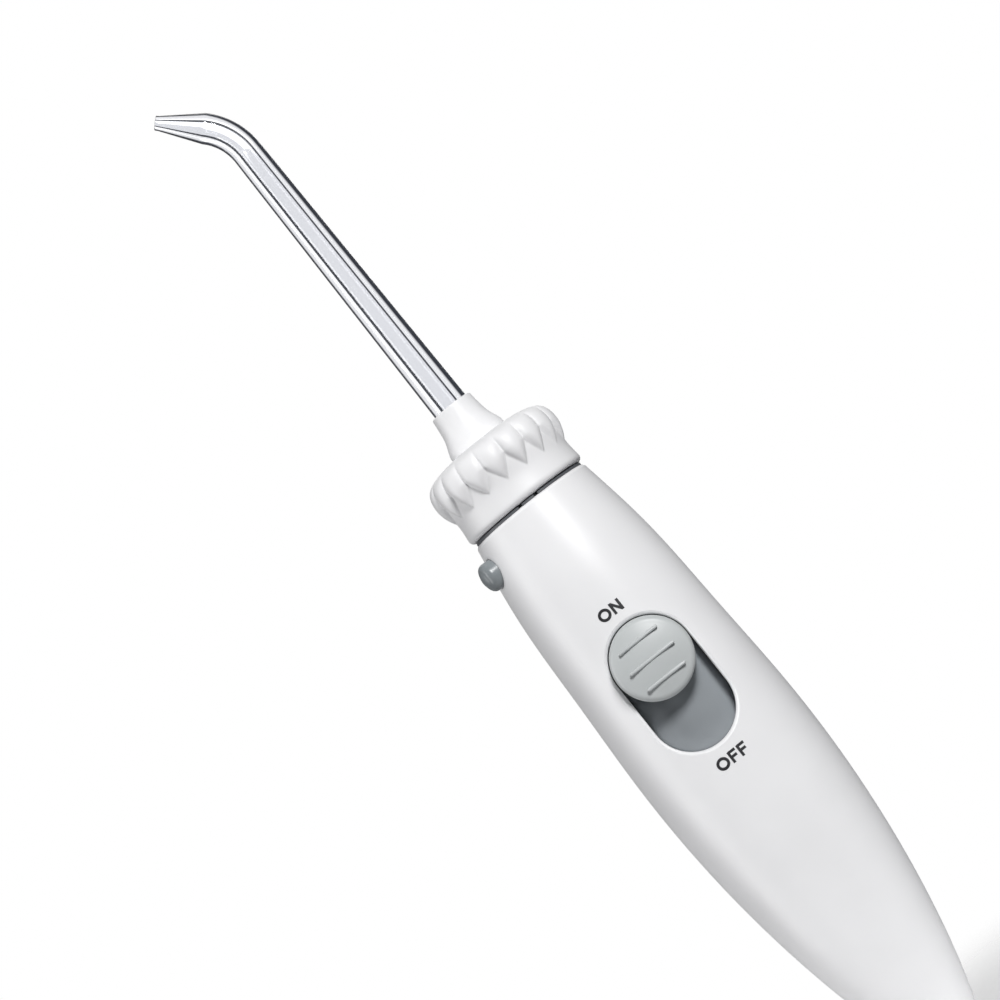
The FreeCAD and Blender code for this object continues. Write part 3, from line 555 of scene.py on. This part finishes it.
def rib_on(bm, length, rise):
    """Adds one rounded rib across the button, a little sunk into its crown."""
    before = set(bm.verts)
    reach = length / 2 - RIB_R
    bmesh.ops.create_uvsphere(bm, u_segments=20, v_segments=12, radius=RIB_R)
    verts = [v for v in bm.verts if v not in before]
    bmesh.ops.rotate(bm, cent=(0, 0, 0), matrix=Matrix.Rotation(math.pi / 2, 3, "Y"), verts=verts)
    for vert in verts:
        if abs(vert.co.x) > 1e-5:
            vert.co.x += math.copysign(reach, vert.co.x)
        vert.co += Vector((0, rise, BUTTON_TOP - rise * rise * RIB_FALL))


def make_button():
    """Round domed thumb button with three ribs, whose foot follows the slide plate."""
    bm = lathe(domed_cap(BUTTON_R, BUTTON_FOOT, BUTTON_TOP, BUTTON_CROWN, BUTTON_EDGE, 82, 9, 16))
    for length, rise in zip(RIB_LENGTHS, (RIB_PITCH, 0, -RIB_PITCH)):
        rib_on(bm, length, rise)
    to_front(bm, BUTTON_Z)
    for vert in bm.verts:
        if vert.co.y > -BUTTON_FOOT - 0.05:
            vert.co.y = -math.sqrt(max((PLATE_OUT_R + 0.03) ** 2 - vert.co.x ** 2, 0))
    button = make_object("thumb_slide_button", bm)
    finish_piece(button, button_abs, "switch", "thumb_button")


# ------------------------------------------------------------------ turning head

SKIRT = [(12.15, 120.7), (11.98, 122.2), (11.9, 123.8), (12.03, 125.4), (12.2, 127.0), (12.32, 128.6)]
CROWN_MIDDLE = (KNOB_HOLE_R, KNOB_HIGH)
VALLEY = SKIRT + [(12.42, 130.0), (11.85, 131.2), (10.4, 132.22), (8.3, 132.74), CROWN_MIDDLE]
SHOULDER = [
    (14.5, 120.7), (14.2, 126.0), (13.75, 128.4), (13.2, 130.2), (12.15, 131.5), (10.6, 132.3), (8.6, 132.75),
    CROWN_MIDDLE,
]
VALLEY_BLEND, SHOULDER_BLEND = 0.2, 0.9


def line_reader(points):
    """Gives the radius at a height on the smooth line through the points."""
    radii, heights = zip(*smooth_line(points, 0.1))
    return lambda height: float(np.interp(height, heights, radii))


def soft_limit(value, limit, blend, side):
    """The smaller (side 1) or larger (side -1) of two lengths, with a smooth change from one to the other."""
    near = max(blend - abs(value - limit), 0) / blend
    return side * min(side * value, side * limit) - side * near * near * blend / 4


def lobe_radius(turn, height):
    """Distance from the axis to the skin of the nearest lobe, at an angle from its middle and at a height."""
    middle, level = LOBE_ARC_CENTRE
    width = min(max((height - LOBE_POINT_Z) / (LOBE_WIDE_Z - LOBE_POINT_Z), 0.02), 1) ** 0.8
    radius = 13.0
    for _ in range(3):
        aside = min(abs(radius * math.sin(turn)) / width, LOBE_R)
        reach = LOBE_ARC_R - LOBE_R + math.sqrt(LOBE_R ** 2 - aside ** 2)
        radius = (middle + math.sqrt(max(reach ** 2 - (height - level) ** 2, 0))) / math.cos(turn)
    return radius


def make_knob():
    """Knob with leaf-shaped lobes, which run to a point on the skirt and end under the shoulder."""
    valley, shoulder = line_reader(VALLEY), line_reader(SHOULDER)
    rim = rounding((KNOB_RIM_R, KNOB_LOW + KNOB_RIM_ROUND), KNOB_RIM_ROUND, -90, 0, 7)
    side = smooth_line(VALLEY, 0.14)[1:]
    ceiling = [(KNOB_HOLE_R, KNOB_CEILING), (KNOB_BORE_R, KNOB_CEILING)]
    bm = lathe([(KNOB_BORE_R, KNOB_LOW)] + rim + side + ceiling, LOBES * 24, closed=True)
    pitch = 2 * math.pi / LOBES
    for vert in bm.verts:
        height, radius = vert.co.z, math.hypot(vert.co.x, vert.co.y)
        lobed = SKIRT[0][1] < height < LOBED_TOP and radius >= LOBED_IN_R
        outside = radius > KNOB_SKIN_R or height > KNOB_SKIN_Z
        if not (lobed and outside):
            continue
        turn = (math.atan2(vert.co.y, vert.co.x) + math.pi / 2 + pitch / 2) % pitch - pitch / 2
        skin = soft_limit(lobe_radius(turn, height), valley(height), VALLEY_BLEND, -1)
        skin = soft_limit(skin, shoulder(height), SHOULDER_BLEND, 1)
        vert.co.x *= skin / radius
        vert.co.y *= skin / radius
    knob = make_object("turning_knob", bm, 28)
    finish_piece(knob, knob_abs, "knob", "rotation_knob")


def make_cone():
    """White cone that holds the tip and turns with the knob, with its flange under the knob's ceiling."""
    bore_r, sleeve_r, flange_r, foot_r = 3.45, 4.98, 8.9, 5.65
    lip_z, flange_z, low_z = 140.7, 128.3, 117.8
    points = [(bore_r, lip_z), (3.7, 140.92), (3.85, 140.98), (4.02, 140.88)]
    points += smooth_line([(4.08, lip_z), (4.3, 138.7), (4.72, 136.4), (5.3, 134.9), (foot_r, 133.9)], 0.3)
    points += [(foot_r, KNOB_CEILING), (flange_r, KNOB_CEILING), (flange_r, flange_z)]
    points += [(sleeve_r, flange_z), (sleeve_r, low_z), (bore_r, low_z)]
    cone = make_object("tip_cone", lathe(points, 96, closed=True))
    finish_piece(cone, knob_abs, "knob", "tip_holder")


# ------------------------------------------------------------------ jet tip

BEND_REACH = TIP_BEND_R * math.tan(TIP_BEND / 2)
BEND_LOW = TIP_CORNER - BEND_REACH
BEND_LENGTH = TIP_BEND_R * TIP_BEND


def bend_point(point):
    """Moves a point of the straight tip onto its bent path. Heights past the bend are lengths along the
    path."""
    if point.z <= BEND_LOW:
        return point
    along = point.z - BEND_LOW
    angle = min(along / TIP_BEND_R, TIP_BEND)
    centre = Vector((-TIP_BEND_R, 0, BEND_LOW))
    outward = Vector((math.cos(angle), 0, math.sin(angle)))
    forward = Vector((-math.sin(angle), 0, math.cos(angle)))
    rest = max(along - BEND_LENGTH, 0)
    return centre + outward * (TIP_BEND_R + point.x) + Vector((0, point.y, 0)) + forward * rest


def tip_lines():
    """Outside and bore of the straight tip as (radius, height along the path) points, from the foot to the
    end."""
    bend_high = BEND_LOW + BEND_LENGTH
    end = bend_high + TIP_NOZZLE - BEND_REACH
    groove_low, groove_high = EJECT_Z - GROOVE_HALF, EJECT_Z + GROOVE_HALF
    outside = [(2.15, TIP_FOOT_Z), (2.95, 102.3), (2.95, TIP_HUB_Z), (HUB_R, TIP_HUB_Z)]
    outside += [(HUB_R, groove_low), (GROOVE_R, groove_low), (GROOVE_R, groove_high), (HUB_R, groove_high)]
    outside += [(HUB_R, 131.8), (TUBE_R, 132.0), (TUBE_R, 136.98), (3.0, 137.0), (3.0, 139.6),
                (TUBE_R, 139.62)]
    outside += [(TUBE_R, TIP_TUBE_Z)]
    outside += straight((TUBE_R, TIP_TUBE_Z), (TUBE_BEND_R, BEND_LOW), 39)
    outside += straight((TUBE_BEND_R, BEND_LOW), (TUBE_BEND_R, bend_high), 23)
    outside += straight((TUBE_BEND_R, bend_high), (NOZZLE_R, end), 13)[:-1]
    outside += [(1.3, end - 0.18), (1.22, end - 0.05), (1.08, end)]
    bore = [(BORE_R, TIP_FOOT_Z), (BORE_R, TIP_TUBE_Z)]
    bore += straight((BORE_R, TIP_TUBE_Z), (BORE_BEND_R, BEND_LOW), 29)
    bore += straight((BORE_BEND_R, BEND_LOW), (BORE_BEND_R, bend_high), 23)
    bore += straight((BORE_BEND_R, bend_high), (JET_R, end), 9)
    return outside, bore


def make_tip():
    """Clear tip with two flats on its hub, a groove for the latch, a bend and a tapered nozzle."""
    outside, bore = tip_lines()
    bm = lathe(outside + bore[::-1], 64, closed=True)
    for vert in bm.verts:
        on_hub = TIP_HUB_Z + 0.05 < vert.co.z < 131.9
        if on_hub and math.hypot(vert.co.x, vert.co.y) > HUB_FLAT:
            vert.co.y = max(-HUB_FLAT, min(HUB_FLAT, vert.co.y))
        vert.co = bend_point(vert.co)
    bmesh.ops.rotate(bm, cent=(0, 0, 0), matrix=Matrix.Rotation(TIP_TURN, 3, "Z"), verts=bm.verts)
    tip = make_object("clear_jet_tip", bm)
    finish_piece(tip, polycarbonate, "tip", "jet_tip")


def make_eject_button():
    """Domed button on the neck that lets the tip go."""
    points = domed_cap(EJECT_R, EJECT_FOOT, EJECT_FACE, EJECT_CROWN, EJECT_EDGE, 80, 8, 8)
    bm = lathe(points, 64)
    to_eject_axis(bm)
    button = make_object("eject_cap", bm)
    finish_piece(button, eject_abs, "eject", "eject_button")


# ------------------------------------------------------------------ legends

# Letters are one unit high. Each straight one has its width and the two ends of each of its strokes.
STROKE = 0.235
THIN_STROKE = STROKE * 0.95
LETTERS = {
    "N": (0.88, [((0.1, 0), (0.1, 1)), ((0.12, 0.94), (0.76, 0.06)), ((0.78, 0), (0.78, 1))]),
    "F": (0.72, [((0.1, 0), (0.1, 1)), ((0.1, 0.91), (0.72, 0.91)), ((0.1, 0.5), (0.64, 0.5))]),
}
ROUND_LETTER_WIDTH, ROUND_LETTER_HALF = 1.1, 0.52
LETTER_GAP = 0.16


def flat_bar(bm, start, end):
    """Flat stroke between two points, in short lengths so that it can be bent over the skin."""
    start, end = Vector((*start, 0)), Vector((*end, 0))
    aside = (end - start).normalized().cross(Vector((0, 0, 1))) * THIN_STROKE / 2
    steps = 8
    rows = []
    for i in range(steps + 1):
        middle = start.lerp(end, i / steps)
        rows.append([bm.verts.new(middle - aside), bm.verts.new(middle + aside)])
    for low, high in zip(rows, rows[1:]):
        bm.faces.new((low[0], low[1], high[1], high[0]))


def flat_ring(bm, left):
    """Flat round letter, with its left side at a place along the line."""
    half_width = ROUND_LETTER_WIDTH / 2
    centre = Vector((left + half_width, 0.5, 0))
    rows = []
    for angle in np.radians(np.arange(0, 360, 7.5)):
        x, y = math.cos(angle), math.sin(angle)
        outer = Vector((x * half_width, y * ROUND_LETTER_HALF, 0))
        inner = Vector((x * (half_width - STROKE), y * (ROUND_LETTER_HALF - STROKE), 0))
        rows.append([bm.verts.new(centre + inner), bm.verts.new(centre + outer)])
    for low, high in zip(rows, rows[1:] + rows[:1]):
        bm.faces.new((low[0], low[1], high[1], high[0]))


def make_legend(word, across, z):
    """Printed word on the front of the grip, laid on its skin, with its middle at X and Z."""
    bm = bmesh.new()
    left = 0.0
    for letter in word:
        if letter == "O":
            width = ROUND_LETTER_WIDTH
            flat_ring(bm, left)
        else:
            width, strokes = LETTERS[letter]
            for start, end in strokes:
                flat_bar(bm, (left + start[0], start[1]), (left + end[0], end[1]))
        left += width + LETTER_GAP
    length = left - LETTER_GAP
    for vert in bm.verts:
        x = across + (vert.co.x - length / 2) * LEGEND_HEIGHT
        up = z + (vert.co.y - 0.5) * LEGEND_HEIGHT
        vert.co = Vector((x, skin_y(x, up) - LEGEND_PROUD, up))
    bmesh.ops.recalc_face_normals(bm, faces=bm.faces)
    obj = make_object("legend_" + word.lower(), bm)
    finish_piece(obj, ink, "handle", None)


make_grip()
make_gland()
make_slide_plate()
make_button()
make_knob()
make_cone()
make_tip()
make_eject_button()
make_legend("ON", -0.62, 95.7)
make_legend("OFF", 0.15, 63.8)


# ------------------------------------------------------------------ floor, light and camera

ROOM_STRENGTH = 0.12
FIELD_LEAN = 0.15
FIELD_DARK, FIELD_BRIGHT = 0.6, 0.72
LIGHT_AIM = (0, 0, 0.11)


def tip_field(tree, way):
    """Bright field behind the clear tip, a little to one side, and dark elsewhere, so that the tip's edges and
    bore are drawn as dark lines."""
    lean = add(tree, "ShaderNodeMath", {"operation": "MULTIPLY_ADD"}, {0: (way, "X"), 2: (way, "Y")})
    lean.inputs[1].default_value = FIELD_LEAN
    tones = two_tones(tree, lean, "Value", FIELD_DARK, "#34373F", FIELD_BRIGHT, "#FAFAFC")
    return add(tree, "ShaderNodeBackground", {"Strength": 1.0}, {"Color": (tones, "Color")})


def dim_room(tree, way):
    """Soft dim room that fills the shadows, darkest at the sides and brightest behind."""
    depth = add(tree, "ShaderNodeMapRange", {"From Min": -1.0, "From Max": 1.0}, {"Value": (way, "Y")})
    tones = two_tones(tree, depth, "Result", 0.0, "#C9C9CF", 0.9, "#FFFFFF")
    side = tones.color_ramp.elements.new(0.5)
    side.color = paint("#8E8F9A")
    return add(tree, "ShaderNodeBackground", {"Strength": ROOM_STRENGTH}, {"Color": (tones, "Color")})


def white_world():
    """White backdrop for the eye, a bright field seen through the clear tip, and a dim room for the rest."""
    world = bpy.data.worlds.new("studio")
    world.use_nodes = True
    tree = world.node_tree
    tree.nodes.clear()
    place = add(tree, "ShaderNodeTexCoord")
    way = add(tree, "ShaderNodeSeparateXYZ", None, {"Vector": (place, "Generated")})
    seen = add(tree, "ShaderNodeBackground", {"Color": paint("#FFFFFF"), "Strength": 1.0})
    path = add(tree, "ShaderNodeLightPath")
    through = add(tree, "ShaderNodeMixShader", None,
                  {0: (path, "Is Transmission Ray"), 1: (dim_room(tree, way), 0),
                   2: (tip_field(tree, way), 0)})
    mix = add(tree, "ShaderNodeMixShader", None, {0: (path, "Is Camera Ray"), 1: (through, 0), 2: (seen, 0)})
    add(tree, "ShaderNodeOutputWorld", None, {"Surface": (mix, "Shader")})
    bpy.context.scene.world = world
    bpy.context.scene.view_settings.view_transform = "Standard"


def make_floor():
    """Plain pale floor just under the tail, which fades into the backdrop away from the part."""
    bm = bmesh.new()
    bmesh.ops.create_circle(bm, cap_ends=True, segments=96, radius=FLOOR_FADE_END)
    bmesh.ops.translate(bm, verts=bm.verts, vec=(0, 0, -0.2))
    floor = make_object("floor", bm)
    material, tree, surface = new_material("pale_floor", {"Roughness": 0.9, "Base Color": paint("#FAFAFA")})
    place = add(tree, "ShaderNodeTexCoord")
    away = add(tree, "ShaderNodeVectorMath", {"operation": "LENGTH"}, {"Vector": (place, "Object")})
    fade = add(tree, "ShaderNodeMapRange", {
        "interpolation_type": "SMOOTHSTEP", "From Min": FLOOR_FADE_START * MM,
        "From Max": FLOOR_FADE_END * MM,
        "To Min": 1.0, "To Max": 0.0,
    }, {"Value": (away, "Value")})
    tree.links.new(fade.outputs["Result"], surface.inputs["Alpha"])
    floor.data.materials.append(material)


def soft_box(name, size, power, place):
    """Rectangular light, with its size and place in metres and its power in watts, aimed at the neck."""
    light = bpy.data.lights.new(name, "AREA")
    light.shape = "RECTANGLE"
    light.size, light.size_y = size
    light.energy = power
    lamp = bpy.data.objects.new(name, light)
    lamp.location = place
    lamp.rotation_euler = (Vector(LIGHT_AIM) - Vector(place)).to_track_quat("-Z", "Y").to_euler()
    bpy.context.scene.collection.objects.link(lamp)


def place_camera():
    """Camera a little below the middle of the part, rolled so that the tip points up and to the left."""
    climb, roll = math.radians(4.0), math.radians(38.6)
    distance, view_width = 0.65, 0.173
    sensor_mm = 36
    ahead = Vector((0, math.cos(climb), math.sin(climb)))
    across = Vector((1, 0, 0))
    upward = across.cross(ahead)
    right = across * math.cos(roll) - upward * math.sin(roll)
    above = across * math.sin(roll) + upward * math.cos(roll)
    target = Vector((-0.0034, 0, 0.123))
    camera = bpy.data.objects.new("camera", bpy.data.cameras.new("camera"))
    turn = Matrix((right, above, -ahead)).transposed()
    camera.matrix_world = Matrix.Translation(target - ahead * distance) @ turn.to_4x4()
    camera.data.sensor_width = sensor_mm
    camera.data.lens = sensor_mm * distance / view_width
    bpy.context.scene.collection.objects.link(camera)
    bpy.context.scene.camera = camera


white_world()
make_floor()
soft_box("key", (0.22, 0.22), 8.0, (0.34, -0.72, 0.58))
soft_box("fill", (0.4, 0.9), 3.8, (-0.8, -0.12, 0.2))
soft_box("back", (0.6, 0.4), 0.6, (0.1, 0.6, 0.5))
place_camera()
